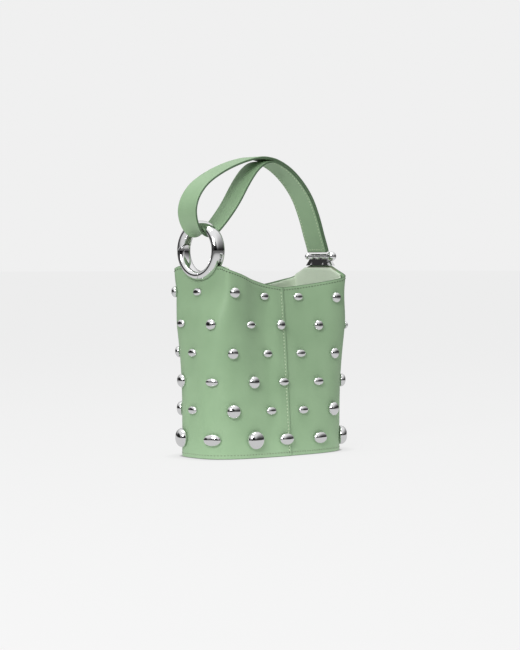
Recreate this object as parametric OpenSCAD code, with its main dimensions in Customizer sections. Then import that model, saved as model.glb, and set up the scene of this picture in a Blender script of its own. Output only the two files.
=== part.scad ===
// Small bucket bag with a doubled strap handle, a gated ring and a barbell clamp.
// Frame: X along the bag, ring end at -X and bar end at +X. Y across, Z up.
// Origin: middle of the base, on the surface that the bag stands on.

/* [Body] */
// Length of the bag from the ring end to the bar end
body_length = 175; // [165:1:185]
// Width of the bag across the two seamed sides
body_width = 88; // [80:1:96]
// Height of the rim at the two seams
seam_height = 166; // [160:1:168]
// Height of the rim at the ring end
ring_end_height = 187; // [184:0.5:187]
// How far each seamed side is drawn in at the top
waist = 15.5; // [10:0.1:20]
// Thickness of the outer leather
leather = 1.8; // [1.4:0.1:2]
// Thickness of the lining
lining = 1; // [0.6:0.1:1.2]
// Width of the overlap at each seam, in degrees round the body
lap = 5; // [4:0.5:7]

/* [Ring] */
// Radius of the middle of the ring's section
ring_radius = 24.4; // [23.5:0.1:25]
// Radial thickness of the ring
ring_thickness = 9.4; // [9:0.2:10.4]
// Depth of the ring along its own axis
ring_depth = 15; // [13:0.5:16]
// Turn of the ring about the vertical, towards the near seam
ring_turn = 5; // [0:1:6]

/* [Bar] */
// Radius of the bar that the strap ends are pinned into
bar_radius = 2.45; // [2.2:0.05:2.6]
// Radius of the large ball on the near end of the bar
near_ball_radius = 4.8; // [4:0.1:5.2]
// Radius of the small ball on the far end of the bar
far_ball_radius = 3.3; // [3:0.1:4]

/* [Strap] */
// Width of the strap
strap_width = 29; // [26:0.5:30]
// Thickness of the strap leather
strap_thickness = 2.3; // [1.8:0.1:2.4]

/* [Studs] */
// Height of the lowest row of studs above the base
first_row_height = 16.8; // [15:0.1:20]
// Distance from one row of studs up to the next
row_pitch = 28; // [26:0.5:28]

/* [Hidden] */

mint = [0.55, 0.70, 0.50];
mint_inside = [0.70, 0.80, 0.66];
chrome = [0.82, 0.82, 0.84];
board_grey = [0.55, 0.52, 0.47];

peak_height = 187;
hardware_x = 78;
layer_gap = 0.1;
far_off = 40;

// ---- shape of the body ----
// The plan at any height is a superellipse that gets squarer towards the rim. The seamed
// sides are drawn in by the waist, and the top of each end is drawn in to the hardware.

half_length = body_length / 2;
half_width = body_width / 2;
end_pull = half_length - hardware_x - leather / 2;
pull_starts = 124;
pull_ends = 170;
pull_half_width = 42;
ends_begin = 40;
ends_full = 70;
waist_reach = 56;

function ramp(low, high, x) = let(t = min(1, max(0, (x - low) / (high - low)))) t * t * (3 - 2 * t);
function squareness(z) = 3 + 9 * pow(min(1, z / peak_height), 4);
function draw_in(x, z) = waist * pow(z / peak_height, 1.14) * exp(-pow(x / waist_reach, 2));

function superellipse(phi, n) =
    let(k = pow(pow(abs(cos(phi)), n) + pow(abs(sin(phi)), n), -1 / n))
    [half_length * k * cos(phi), half_width * k * sin(phi)];

function plan_point(phi, z) =
    let(p = superellipse(phi, squareness(z)),
        y = p.y - sign(p.y) * draw_in(p.x, z) * min(1, abs(p.y) / half_width),
        held = ramp(pull_starts, pull_ends, z) * ramp(ends_begin, ends_full, abs(p.x))
               / (1 + pow(y / pull_half_width, 8)),
        x = p.x - sign(p.x) * end_pull * held)
    [p.x < 0 ? x - tan(ring_turn) * y * held : x, y];

// A point of the wall, depth mm inside its outer face
function wall_point(phi, z, depth) =
    let(step = 0.5,
        along = plan_point(phi + step, z) - plan_point(phi - step, z),
        inward = [-along.y, along.x] / norm(along))
    concat(plan_point(phi, z) + depth * inward, z);

// ---- height of the rim ----
// rise is 0 at a seam and 1 at the middle of an end, by distance along the wall.

rim_level = 175;
quarter_steps = 45;
quarter_points = [for (i = [0:quarter_steps]) plan_point(90 * i / quarter_steps - 90, rim_level)];
function distance_to(i) = i == 0 ? 0 : distance_to(i - 1) + norm(quarter_points[i] - quarter_points[i - 1]);
quarter_length = distance_to(quarter_steps);
rise_table = [for (i = [0:quarter_steps]) [90 * i / quarter_steps, distance_to(i) / quarter_length]];

function from_seam(phi) = let(folded = abs(((phi + 90) % 180 + 180) % 180)) min(folded, 180 - folded);
function rise(phi) = lookup(from_seam(phi), rise_table);

ring_corner_rise = 0.74;
bar_corner_rise = 0.62;
clamp_rise = 0.85;
bar_corner_height = 175.2;
tab_height = 191.5;
tab_half_width = 15.5;
lining_drop = 1;

function ring_side_rim(phi) =
    seam_height + (ring_end_height - seam_height) * pow(min(1, rise(phi) / ring_corner_rise), 1.35);
function bar_side_rim(phi) =
    let(to_corner = min(1, rise(phi) / bar_corner_rise),
        to_clamp = min(1, max(0, (rise(phi) - bar_corner_rise) / (clamp_rise - bar_corner_rise))))
    seam_height + (bar_corner_height - seam_height) * pow(to_corner, 1.35)
    + (peak_height - bar_corner_height) * pow(to_clamp, 1.1);
function notch_rim(phi, radius) =
    let(y = plan_point(phi, ring_end_height).y / cos(ring_turn))
    ring_height - sqrt(max(0, radius * radius - y * y));
function front_rim(phi) = min(ring_side_rim(phi), notch_rim(phi, notch_radius));
function back_rim(phi) =
    abs(plan_point(phi, peak_height).y) < tab_half_width && rise(phi) > clamp_rise
    ? tab_height : bar_side_rim(phi);
function lining_rim(phi) =
    cos(phi) < 0 ? min(ring_side_rim(phi), notch_rim(phi, lip_radius + 1.5)) - lining_drop
                 : min(bar_side_rim(phi), peak_height - 1) - lining_drop;

// ---- a patch of wall ----
// Columns run round the body and rows run up it. depth is a function of the angle.

module wall_patch(first, last, columns, rows, bottom, rim, outer_depth, thickness, closed = false) {
    count = closed ? columns : columns + 1;
    angles = [for (i = [0:count - 1]) first + (last - first) * i / columns];
    function side(extra) = [for (phi = angles) for (j = [0:rows])
        wall_point(phi, bottom(phi) + (rim(phi) - bottom(phi)) * j / rows, outer_depth(phi) + extra)];
    per_side = count * (rows + 1);
    function at(i, j) = (i % count) * (rows + 1) + j;
    function quad(a, b, c, d) = [[a, b, c], [a, c, d]];
    spans = [for (i = [0:columns - 1]) i];
    faces = concat(
        [for (i = spans) for (j = [0:rows - 1])
            each quad(at(i, j), at(i, j + 1), at(i + 1, j + 1), at(i + 1, j))],
        [for (i = spans) for (j = [0:rows - 1])
            each quad(per_side + at(i, j), per_side + at(i + 1, j),
                      per_side + at(i + 1, j + 1), per_side + at(i, j + 1))],
        [for (i = spans) each quad(at(i, 0), at(i + 1, 0), per_side + at(i + 1, 0), per_side + at(i, 0))],
        [for (i = spans) each quad(at(i, rows), per_side + at(i, rows),
                                   per_side + at(i + 1, rows), at(i + 1, rows))],
        closed ? [] : [for (j = [0:rows - 1])
            each quad(at(0, j), per_side + at(0, j), per_side + at(0, j + 1), at(0, j + 1))],
        closed ? [] : [for (j = [0:rows - 1])
            each quad(at(columns, j), at(columns, j + 1),
                      per_side + at(columns, j + 1), per_side + at(columns, j))]);
    polyhedron(points = concat(side(0), side(thickness)), faces = faces);
}

panel_columns = 60;
panel_rows = 16;
lap_clear = 3.5;
lap_step = leather + layer_gap;
at_base = function (phi) 0;
outer_face = function (phi) 0;

// The front panel carries the ring. Its two edges lie over the back panel's edges, so it
// stands out by one leather thickness along each seam.
function lap_depth(phi) = from_seam(phi) < lap + lap_clear ? -lap_step : 0;

module front_panel() {
    color(mint)
        wall_patch(90, 270, panel_columns, panel_rows, at_base, function (phi) front_rim(phi),
                   function (phi) lap_depth(phi), leather);
}

module back_panel() {
    color(mint)
        wall_patch(-90 - lap, 90 + lap, panel_columns, panel_rows, at_base,
                   function (phi) back_rim(phi), outer_face, leather);
}

// ---- base ----

base_thickness = 2;
board_thickness = 1.3;
base_points = 90;
floor_top = base_thickness + board_thickness + 2 * layer_gap;
pad_depth = leather + 0.15;
pad_thickness = 0.5;
layer_room = 0.6;
washer_depth = pad_depth + pad_thickness + layer_room;
washer_thickness = 0.5;
lining_depth = washer_depth + washer_thickness + layer_room;

module floor_plate(bottom, thickness, depth) {
    translate([0, 0, bottom])
        linear_extrude(height = thickness)
            polygon([for (i = [1:base_points])
                let(p = wall_point(360 * i / base_points, bottom, depth)) [p.x, p.y]]);
}

module base_panel() { color(mint) floor_plate(0, base_thickness, pad_depth); }
module base_board() {
    color(board_grey)
        floor_plate(base_thickness + layer_gap, board_thickness, pad_depth + layer_gap);
}
module base_lining() {
    color(mint_inside)
        floor_plate(floor_top, lining, lining_depth + lining + layer_gap);
}

// ---- lining, tapes and pads ----

lining_columns = 88;
lining_rows = 14;
tape_half_turn = 6;
tape_drop = 4;
pad_bottom = 150;

module wall_lining() {
    color(mint_inside)
        wall_patch(0, 360, lining_columns, lining_rows, function (phi) floor_top,
                   function (phi) lining_rim(phi),
                   function (phi) lining_depth, lining, closed = true);
}

module seam_tape(seam) {
    color(board_grey)
        wall_patch(seam - tape_half_turn, seam + tape_half_turn, 4, 12, function (phi) floor_top,
                   function (phi) seam_height - tape_drop, function (phi) pad_depth, pad_thickness);
}
module near_seam_tape() { seam_tape(-90); }
module far_seam_tape() { seam_tape(90); }

// Stiff pads behind the ring and behind the clamp
module ring_pad() {
    color(board_grey)
        wall_patch(148, 212, 24, 4, function (phi) pad_bottom,
                   function (phi) min(ring_end_height - 2, notch_rim(phi, lip_radius + 1)),
                   function (phi) pad_depth, pad_thickness);
}
module clamp_pad() {
    color(board_grey)
        wall_patch(-30, 30, 16, 4, function (phi) pad_bottom,
                   function (phi) min(bar_side_rim(phi), clamp_bottom) - 1,
                   function (phi) pad_depth, pad_thickness);
}

// ---- studs ----
// Each row runs round both panels. Round and oval studs take turns, and odd and even rows
// are staggered. A place is a fraction of the way from the near seam round to the far one.

odd_front_places = [0.03, 0.195, 0.39, 0.58, 0.79];
odd_back_places = [0.175, 0.385, 0.6, 0.8];
even_front_places = [0.103, 0.298, 0.5, 0.65, 0.86];
even_back_places = [0.08, 0.27, 0.5, 0.71, 0.91];
// Round diameter, oval length and oval height of each row, lowest first
row_sizes = [[19, 17.8, 12.4], [14.5, 12.5, 8.5], [13.3, 12.8, 8.5],
             [11.5, 12, 8.3], [11, 11.8, 8], [11, 11.5, 8.3]];
stud_slope = 0.022;
top_row = 6;
top_row_lift = 3;
dome_ratio = 0.36;
oval_sink = 0.15;
post_radius = 0.9;
post_grip = 0.5;
washer_radius = 2.1;
fit = 0.05;
half_turn_steps = 60;

function arc_table(z, way) =
    let(points = [for (i = [0:half_turn_steps]) plan_point(-90 + way * 180 * i / half_turn_steps, z)],
        steps = [for (i = [1:half_turn_steps]) norm(points[i] - points[i - 1])],
        total = steps * [for (s = steps) 1])
    [for (i = 0, gone = 0; i <= half_turn_steps;
          gone = gone + (i < half_turn_steps ? steps[i] : 0), i = i + 1)
        [gone / total, -90 + way * 180 * i / half_turn_steps]];

function row_height(row) = first_row_height + row_pitch * (row - 1);
function row_places(row) = row % 2 == 1
    ? [odd_front_places, odd_back_places] : [even_front_places, even_back_places];
// The fifth row starts with a round stud and the others with an oval one
function first_is_oval(row) = row != 5;

module at_studs(row) {
    z = row_height(row);
    for (half = [0, 1]) {
        way = half == 0 ? -1 : 1;
        table = arc_table(z, way);
        places = row_places(row)[half];
        for (i = [0:len(places) - 1]) {
            phi = lookup(places[i], table);
            face = way < 0 ? lap_depth(phi) : 0;
            x = plan_point(phi, z).x;
            height = z - stud_slope * x + (row == top_row ? top_row_lift * ramp(30, 65, -x) : 0);
            p = wall_point(phi, height, face);
            q = wall_point(phi, height, face + 1);
            $oval = (i % 2 == 0) == first_is_oval(row);
            $face = face;
            translate(p)
                rotate([0, 0, atan2(p.y - q.y, p.x - q.x)])
                    children();
        }
    }
}

module round_dome(diameter) {
    rotate([0, 90, 0])
        rotate_extrude($fn = 48)
            polygon(concat([[0, 0]], [for (a = [0:15:90])
                [diameter / 2 * cos(a), diameter * dome_ratio * sin(a)]]));
}

module oval_dome(length, height) {
    intersection() {
        translate([-oval_sink * height, 0, 0])
            rotate([90, 0, 0])
                rotate_extrude($fn = 48)
                    polygon([for (a = [-90:15:90]) [height / 2 * cos(a), length / 2 * sin(a)]]);
        translate([0, -length, -length]) cube([length, 2 * length, 2 * length]);
    }
}

module stud_row(row) {
    size = row_sizes[row - 1];
    color(chrome)
        at_studs(row) union() {
            if ($oval) oval_dome(size[1], size[2]);
            else round_dome(size[0]);
            translate([$face - washer_depth - washer_thickness, 0, 0])
                rotate([0, 90, 0])
                    cylinder(r = post_radius, h = washer_depth + washer_thickness - $face + post_grip,
                             $fn = 24);
        }
}

module stud_washers(row) {
    color(chrome)
        at_studs(row)
            translate([$face - washer_depth - washer_thickness, 0, 0])
                rotate([0, 90, 0])
                    difference() {
                        cylinder(r = washer_radius, h = washer_thickness, $fn = 32);
                        translate([0, 0, -1])
                            cylinder(r = post_radius + fit, h = washer_thickness + 2, $fn = 24);
                    }
}

// ---- ring ----
// The ring's own frame looks at it from in front of the bag: x to the right, y up, z forward.

ring_height = 202;
lip_radius = ring_radius + ring_thickness / 2;
slot_floor = ring_radius + 0.8;
notch_radius = slot_floor + 0.5;
slot_width = leather + 1.4;
slot_top = -6;
gate_pin_x = -4.2;
gate_pin_y = -21.9;
gate_pin_radius = 1.2;
knuckle_radius = 7.6;
knuckle_clearance = 0.25;
scarf_angle = 46;
scarf_reach = 14.2;
scarf_gap = 0.5;
tongue_radius = 2.9;
tongue_thickness = 4.5;
tongue_height = 4.4;
tongue_length = 10;
spring_pocket_radius = 2.7;
spring_pocket_depth = 2.1;
screw_angles = [288, 312];
screw_circle = ring_radius + 2.7;
screw_radius = 0.9;
screw_head_radius = 1.5;
screw_head_height = 0.9;
ring_screw_length = 10;
ring_screw_back = -6;
gate_pin_length = 10.4;
pin_end_gap = 0.1;
side_clearance = 0.25;
pin_fit = 0.02;

module ring_place() {
    translate([-hardware_x, 0, ring_height])
        rotate([0, 0, ring_turn])
            rotate([90, 0, -90])
                children();
}

module whole_ring(grow = 0) {
    rotate_extrude($fn = 96)
        translate([ring_radius, 0])
            polygon([for (a = [0:15:345])
                [(ring_thickness / 2 + grow) * cos(a), (ring_depth / 2 + grow) * sin(a)]]);
}

module leather_slot() {
    intersection() {
        difference() {
            cylinder(r = lip_radius + 3, h = slot_width, center = true, $fn = 96);
            cylinder(r = slot_floor, h = slot_width + 1, center = true, $fn = 96);
        }
        translate([-far_off, slot_top - 2 * far_off, -far_off]) cube(2 * far_off);
    }
}

function scarf_y(x) = tan(scarf_angle) * (x + ring_radius);

module gate_side(grow) {
    offset_up = (grow > 0 ? scarf_gap : 0) / cos(scarf_angle);
    inner_end = scarf_reach - ring_radius;
    linear_extrude(height = far_off, center = true)
        polygon([[gate_pin_x, -far_off], [-far_off, -far_off],
                 [-far_off, scarf_y(-far_off) + offset_up],
                 [inner_end, scarf_y(inner_end) + offset_up],
                 [gate_pin_x, scarf_y(inner_end) + offset_up]]);
    translate([gate_pin_x, gate_pin_y, 0])
        cylinder(r = knuckle_radius + grow, h = far_off, center = true, $fn = 72);
}

module tongue() {
    difference() {
        intersection() {
            union() {
                translate([gate_pin_x, gate_pin_y, 0])
                    cylinder(r = tongue_radius, h = tongue_thickness, center = true, $fn = 48);
                translate([gate_pin_x, gate_pin_y - tongue_height / 2, -tongue_thickness / 2])
                    cube([tongue_length, tongue_height, tongue_thickness]);
            }
            cylinder(r = slot_floor - fit, h = far_off, center = true, $fn = 96);
        }
        translate([gate_pin_x, gate_pin_y, 0])
            cylinder(r = gate_pin_radius + fit, h = far_off, center = true, $fn = 36);
    }
}

module ring_body() {
    color(chrome)
        ring_place() {
            difference() {
                union() {
                    difference() {
                        whole_ring();
                        gate_side(knuckle_clearance);
                    }
                    tongue();
                }
                leather_slot();
                for (a = screw_angles)
                    rotate([0, 0, a]) translate([screw_circle, 0, 0]) {
                        translate([0, 0, ring_screw_back])
                            cylinder(r = screw_radius + fit, h = ring_screw_length + 2 * pin_end_gap,
                                     $fn = 24);
                        translate([0, 0, ring_screw_back + screw_head_height - pin_end_gap - far_off])
                            cylinder(r = screw_head_radius + 2 * fit, h = far_off, $fn = 32);
                    }
            }
        }
}

module ring_gate() {
    pocket = tongue_thickness / 2 + side_clearance;
    color(chrome)
        ring_place()
            difference() {
                intersection() {
                    whole_ring();
                    gate_side(0);
                }
                leather_slot();
                translate([gate_pin_x, gate_pin_y, 0])
                    cylinder(r = tongue_radius + 2 * knuckle_clearance, h = 2 * pocket,
                             center = true, $fn = 48);
                translate([gate_pin_x, -far_off, -pocket]) cube([far_off, far_off, 2 * pocket]);
                translate([gate_pin_x, gate_pin_y, 0])
                    cylinder(r = gate_pin_radius + pin_fit, h = gate_pin_length + 2 * pin_end_gap,
                             center = true, $fn = 36);
                translate([gate_pin_x, gate_pin_y, 0])
                    cylinder(r = spring_pocket_radius, h = pocket + spring_pocket_depth, $fn = 48);
            }
}

module gate_pin() {
    color(chrome)
        ring_place()
            translate([gate_pin_x, gate_pin_y, 0])
                cylinder(r = gate_pin_radius, h = gate_pin_length, center = true, $fn = 36);
}

// Torsion spring: a wire wound on a helix round the gate pin
spring_turns = 3;
spring_sides = 8;
spring_rings = 14 * spring_turns;
spring_coil_radius = 1.9;
spring_wire_radius = 0.2;
spring_rise = 1.5;
spring_lift = 0.6;

module gate_spring() {
    function ring_point(i, k) =
        let(turn = 360 * spring_turns * i / spring_rings, a = 360 * k / spring_sides,
            r = spring_coil_radius + spring_wire_radius * cos(a))
        [r * cos(turn), r * sin(turn), spring_rise * i / spring_rings + spring_wire_radius * sin(a)];
    points = [for (i = [0:spring_rings]) for (k = [0:spring_sides - 1]) ring_point(i, k)];
    function at(i, k) = i * spring_sides + k % spring_sides;
    faces = concat(
        [[for (k = [0:spring_sides - 1]) at(0, k)]],
        [[for (k = [spring_sides - 1:-1:0]) at(spring_rings, k)]],
        [for (i = [0:spring_rings - 1]) for (k = [0:spring_sides - 1])
            each [[at(i, k), at(i + 1, k + 1), at(i, k + 1)], [at(i, k), at(i + 1, k), at(i + 1, k + 1)]]]);
    color(board_grey)
        ring_place()
            translate([gate_pin_x, gate_pin_y, tongue_thickness / 2 + spring_lift])
                polyhedron(points = points, faces = faces);
}

module ring_screws() {
    color(chrome)
        ring_place()
            for (a = screw_angles)
                rotate([0, 0, a]) translate([screw_circle, 0, 0]) {
                    translate([0, 0, ring_screw_back - pin_end_gap])
                        cylinder(r = screw_head_radius, h = screw_head_height, $fn = 32);
                    translate([0, 0, ring_screw_back])
                        cylinder(r = screw_radius, h = ring_screw_length, $fn = 24);
                }
}

// ---- clamp ----

clamp_bottom = 187.4;
clamp_top = 194.2;
clamp_bottom_half = 17;
clamp_top_half = 12.8;
jaw_face = leather / 2 + 0.15;
bar_x = 77;
bar_height = 196.8;
strap_lean = 25;
lug_places = [-9.5, 0, 9.5];
lug_width = 3.4;
clamp_screw_places = [-9, 9];
clamp_screw_height = 189.6;
clamp_screw_reach = 3;
clamp_head_height = 0.8;
clamp_screw_back = -4;
jaw_bottom_half = 4.8;
jaw_top_half = 3.2;
lug_wall = 1.15;
lug_mouth = 6.5;

module across(width) {
    rotate([90, 0, 0]) linear_extrude(height = width, center = true) children();
}

module clamp_ends() {
    rotate([90, 0, 90])
        linear_extrude(height = 5 * far_off)
            polygon([[-clamp_bottom_half, clamp_bottom], [clamp_bottom_half, clamp_bottom],
                     [clamp_top_half, clamp_top], [-clamp_top_half, clamp_top]]);
}

module jaw(side) {
    difference() {
        intersection() {
            translate([hardware_x, 0, 0])
                across(2 * far_off)
                    polygon([[side * jaw_face, clamp_bottom], [side * jaw_bottom_half, clamp_bottom],
                             [side * jaw_top_half, clamp_top], [side * fit, clamp_top],
                             [side * fit, tab_height + post_grip],
                             [side * jaw_face, tab_height + post_grip]]);
            clamp_ends();
        }
        for (y = clamp_screw_places)
            translate([hardware_x + clamp_screw_back, y, clamp_screw_height]) rotate([0, 90, 0]) {
                cylinder(r = screw_radius + fit, h = clamp_screw_reach - clamp_screw_back + 4 * fit,
                         $fn = 24);
                translate([0, 0, clamp_head_height - far_off])
                    cylinder(r = screw_head_radius + 2 * fit, h = far_off, $fn = 32);
            }
    }
}

// Open cradles that hold the bar from below and leave its top free for the strap
module bar_lugs() {
    difference() {
        for (y = lug_places)
            translate([bar_x, y, bar_height]) rotate([90, 0, 0])
                cylinder(r = bar_radius + lug_wall, h = lug_width, center = true, $fn = 48);
        translate([bar_x, 0, bar_height]) rotate([90, 0, 0])
            cylinder(r = bar_radius + fit, h = 2 * far_off, center = true, $fn = 72);
        translate([bar_x, 0, bar_height]) rotate([0, -strap_lean, 0])
            across(2 * far_off)
                polygon([[0, 0], [-2 * lug_mouth, lug_mouth], [-2 * lug_mouth, far_off],
                         [2 * lug_mouth, far_off], [2 * lug_mouth, lug_mouth]]);
        translate([hardware_x, -far_off, clamp_top - far_off]) cube([far_off, 2 * far_off, far_off + 0.15]);
    }
}

module clamp_outer_jaw() { color(chrome) jaw(1); }

module clamp_inner_jaw() {
    color(chrome)
        union() {
            jaw(-1);
            bar_lugs();
        }
}

module clamp_screws() {
    color(chrome)
        for (y = clamp_screw_places)
            translate([hardware_x + clamp_screw_back, y, clamp_screw_height]) rotate([0, 90, 0]) {
                cylinder(r = screw_head_radius, h = clamp_head_height, $fn = 32);
                cylinder(r = screw_radius, h = clamp_screw_reach - clamp_screw_back, $fn = 24);
            }
}

// ---- bar ----

ball_place = 18;
ball_fit = 0.03;
rod_near = 13.8;
rod_far = 15.7;
spigot_radius = 1.5;
spigot_reach = 18;
strap_slot = 1.8;
tongue_half_width = 12.4;
strap_tongue = 1.7;
bar_pin_places = [-9, 0, 9];
bar_pin_radius = 0.5;

module bar_frame() { translate([bar_x, 0, bar_height]) rotate([0, -strap_lean, 0]) children(); }

module bar_rod() {
    color(chrome)
        bar_frame()
            difference() {
                union() {
                    translate([0, rod_far, 0]) rotate([90, 0, 0])
                        cylinder(r = bar_radius, h = rod_near + rod_far, $fn = 72);
                    rotate([90, 0, 0])
                        cylinder(r = spigot_radius, h = 2 * spigot_reach - 1, center = true, $fn = 36);
                }
                translate([-strap_slot / 2, -tongue_half_width - 0.3, -0.6])
                    cube([strap_slot, 2 * tongue_half_width + 0.6, 10]);
                for (y = bar_pin_places)
                    translate([-5, y, 1]) rotate([0, 90, 0])
                        cylinder(r = bar_pin_radius + pin_fit, h = 10, $fn = 24);
            }
}

module ball(y, radius, rod_end) {
    color(chrome)
        bar_frame()
            difference() {
                translate([0, y, 0]) rotate([90, 0, 0])
                    rotate_extrude($fn = 72)
                        polygon([for (a = [-90:9:90]) [radius * cos(a), radius * sin(a)]]);
                rotate([90, 0, 0])
                    cylinder(r = spigot_radius + ball_fit, h = 2 * spigot_reach - 0.9,
                             center = true, $fn = 36);
                rotate([90, 0, 0])
                    cylinder(r = bar_radius + ball_fit, h = 2 * rod_end, center = true, $fn = 72);
            }
}
module near_ball() { ball(-ball_place, near_ball_radius, rod_near + ball_fit); }
module far_ball() { ball(ball_place, far_ball_radius, rod_far + ball_fit); }

module bar_pins() {
    color(chrome)
        bar_frame()
            for (y = bar_pin_places)
                translate([-2.2, y, 1]) rotate([0, 90, 0])
                    cylinder(r = bar_pin_radius, h = 4.4, $fn = 24);
}

// ---- strap ----
// One long strap: from the bar over the top, round the ring's upper side, and back to the
// bar along its own inner face. Points are x and z of the middle of its thickness.

strap_step = strap_thickness + layer_gap;
strap_begins = 4.5;
outer_points = [[74.6, 206.4], [69.9, 219], [63.9, 236], [54.2, 256], [40.2, 272.8],
                [23.7, 285.5], [5.5, 293.1]];
sweep_points = [[-8.5, 294.5], [-24, 292], [-41.5, 286.8], [-61, 278.5], [-79, 267.5],
                [-90, 255], [-94.3, 243.5], [-93.8, 234.5], [-90.6, 226.8], [-85, 220.6],
                [-77.5, 218.2], [-70, 219.6], [-63.2, 224.4], [-55.5, 231.5], [-46.5, 241.5],
                [-38.8, 251.5], [-31.2, 263.2], [-23.2, 274.3], [-15, 283.2], [-5.5, 289.2]];
smooth_steps = 5;

function spline(a, b, c, d, t) =
    0.5 * (2 * b + (c - a) * t + (2 * a - 5 * b + 4 * c - d) * t * t + (3 * b - a - 3 * c + d) * t * t * t);
function smooth(p) = [for (i = [0:len(p) - 2]) for (k = [0:smooth_steps - 1])
    spline(p[max(0, i - 1)], p[i], p[i + 1], p[min(len(p) - 1, i + 2)], k / smooth_steps)];
function normal_at(p, i) =
    let(d = p[min(len(p) - 1, i + 1)] - p[max(0, i - 1)]) [-d.y, d.x] / norm(d);
function shifted(p, by) = [for (i = [0:len(p) - 1]) p[i] + by * normal_at(p, i)];
function reversed(p) = [for (i = [len(p) - 1:-1:0]) p[i]];

strap_direction = [-sin(strap_lean), cos(strap_lean)];
strap_start = [bar_x, bar_height] + strap_begins * strap_direction
              + strap_step / 2 * [cos(strap_lean), sin(strap_lean)];
whole_outer = smooth(concat([strap_start], outer_points, [sweep_points[0], sweep_points[1]]));
doubled_count = smooth_steps * len(outer_points) + 1;
doubled = [for (i = [0:doubled_count - 1]) whole_outer[i]];
inner_doubled = reversed(shifted(doubled, strap_step));
free_points = concat([doubled[doubled_count - 1]], sweep_points, [inner_doubled[0]]);
strap_line = concat([for (i = [0:doubled_count - 2]) doubled[i]], smooth(free_points), inner_doubled);

module strap() {
    color(mint)
        difference() {
            union() {
                across(strap_width)
                    polygon(concat(shifted(strap_line, strap_thickness / 2),
                                   reversed(shifted(strap_line, -strap_thickness / 2))));
                bar_frame()
                    difference() {
                        translate([-strap_tongue / 2, -tongue_half_width, -0.4])
                            cube([strap_tongue, 2 * tongue_half_width, strap_begins + 1.4]);
                        for (y = bar_pin_places)
                            translate([-5, y, 1]) rotate([0, 90, 0])
                                cylinder(r = bar_pin_radius + pin_fit, h = 10, $fn = 24);
                    }
            }
            ring_place() whole_ring(0.5);
        }
}

front_panel();
back_panel();
base_panel();
base_board();
wall_lining();
base_lining();
near_seam_tape();
far_seam_tape();
ring_pad();
clamp_pad();
stud_row(1);  // stud_row_1
stud_row(2);  // stud_row_2
stud_row(3);  // stud_row_3
stud_row(4);  // stud_row_4
stud_row(5);  // stud_row_5
stud_row(6);  // stud_row_6
stud_washers(1);  // stud_washers_1
stud_washers(2);  // stud_washers_2
stud_washers(3);  // stud_washers_3
stud_washers(4);  // stud_washers_4
stud_washers(5);  // stud_washers_5
stud_washers(6);  // stud_washers_6
ring_body();
ring_gate();
gate_pin();
gate_spring();
ring_screws();
clamp_outer_jaw();
clamp_inner_jaw();
clamp_screws();
strap();
bar_rod();
near_ball();
far_ball();
bar_pins();
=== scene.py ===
import bpy
import numpy as np
from math import atan2, cos, hypot, pi, radians, sin, tan
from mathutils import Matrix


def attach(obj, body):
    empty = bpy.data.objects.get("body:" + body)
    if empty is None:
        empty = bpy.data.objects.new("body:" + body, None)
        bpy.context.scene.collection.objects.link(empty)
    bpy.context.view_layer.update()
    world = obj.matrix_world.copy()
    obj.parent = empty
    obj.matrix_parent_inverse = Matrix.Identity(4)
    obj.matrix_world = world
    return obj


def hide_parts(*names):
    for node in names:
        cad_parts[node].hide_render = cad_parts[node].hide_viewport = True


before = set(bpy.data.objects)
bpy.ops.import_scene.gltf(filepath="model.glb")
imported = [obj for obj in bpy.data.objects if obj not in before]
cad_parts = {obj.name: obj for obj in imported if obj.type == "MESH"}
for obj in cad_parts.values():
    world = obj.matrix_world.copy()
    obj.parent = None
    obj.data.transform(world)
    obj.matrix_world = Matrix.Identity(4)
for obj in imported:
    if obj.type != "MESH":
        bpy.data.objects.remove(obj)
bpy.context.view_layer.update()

# ---------------------------------------------------------------- camera, floor and light
# The bag is seen from its near left corner, from about rim height, against a plain pale
# studio floor and wall. Shapes in this file are worked out in millimetres.

MM = 0.001
CAMERA_AZIMUTH = radians(40)
CAMERA_DISTANCE = 2000
CAMERA_HEIGHT = 189.1
CAMERA_PITCH = radians(1.751)
CAMERA_YAW = radians(0.06)
SENSOR = 36
VIEW_HEIGHT = 650
CAMERA_LENS = SENSOR * CAMERA_DISTANCE / VIEW_HEIGHT
BACKGROUND = 0.871

camera_data = bpy.data.cameras.new("camera")
camera_data.lens = CAMERA_LENS
camera_data.sensor_width = SENSOR
camera_data.clip_end = 100
camera = bpy.data.objects.new("camera", camera_data)
camera.location = (-CAMERA_DISTANCE * sin(CAMERA_AZIMUTH) * MM,
                   -CAMERA_DISTANCE * cos(CAMERA_AZIMUTH) * MM,
                   CAMERA_HEIGHT * MM)
camera.rotation_euler = (pi / 2 - CAMERA_PITCH, 0, -CAMERA_AZIMUTH + CAMERA_YAW)
bpy.context.scene.collection.objects.link(camera)
bpy.context.scene.camera = camera
bpy.context.scene.view_settings.view_transform = "Standard"


def new_piece(name, points, faces):
    """A mesh object from points in millimetres and faces as rows of point numbers."""
    mesh = bpy.data.meshes.new(name)
    mesh.from_pydata((np.asarray(points) * MM).tolist(), [], [list(f) for f in faces])
    mesh.polygons.foreach_set("use_smooth", [True] * len(mesh.polygons))
    mesh.update()
    piece = bpy.data.objects.new(name, mesh)
    bpy.context.scene.collection.objects.link(piece)
    return piece


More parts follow.
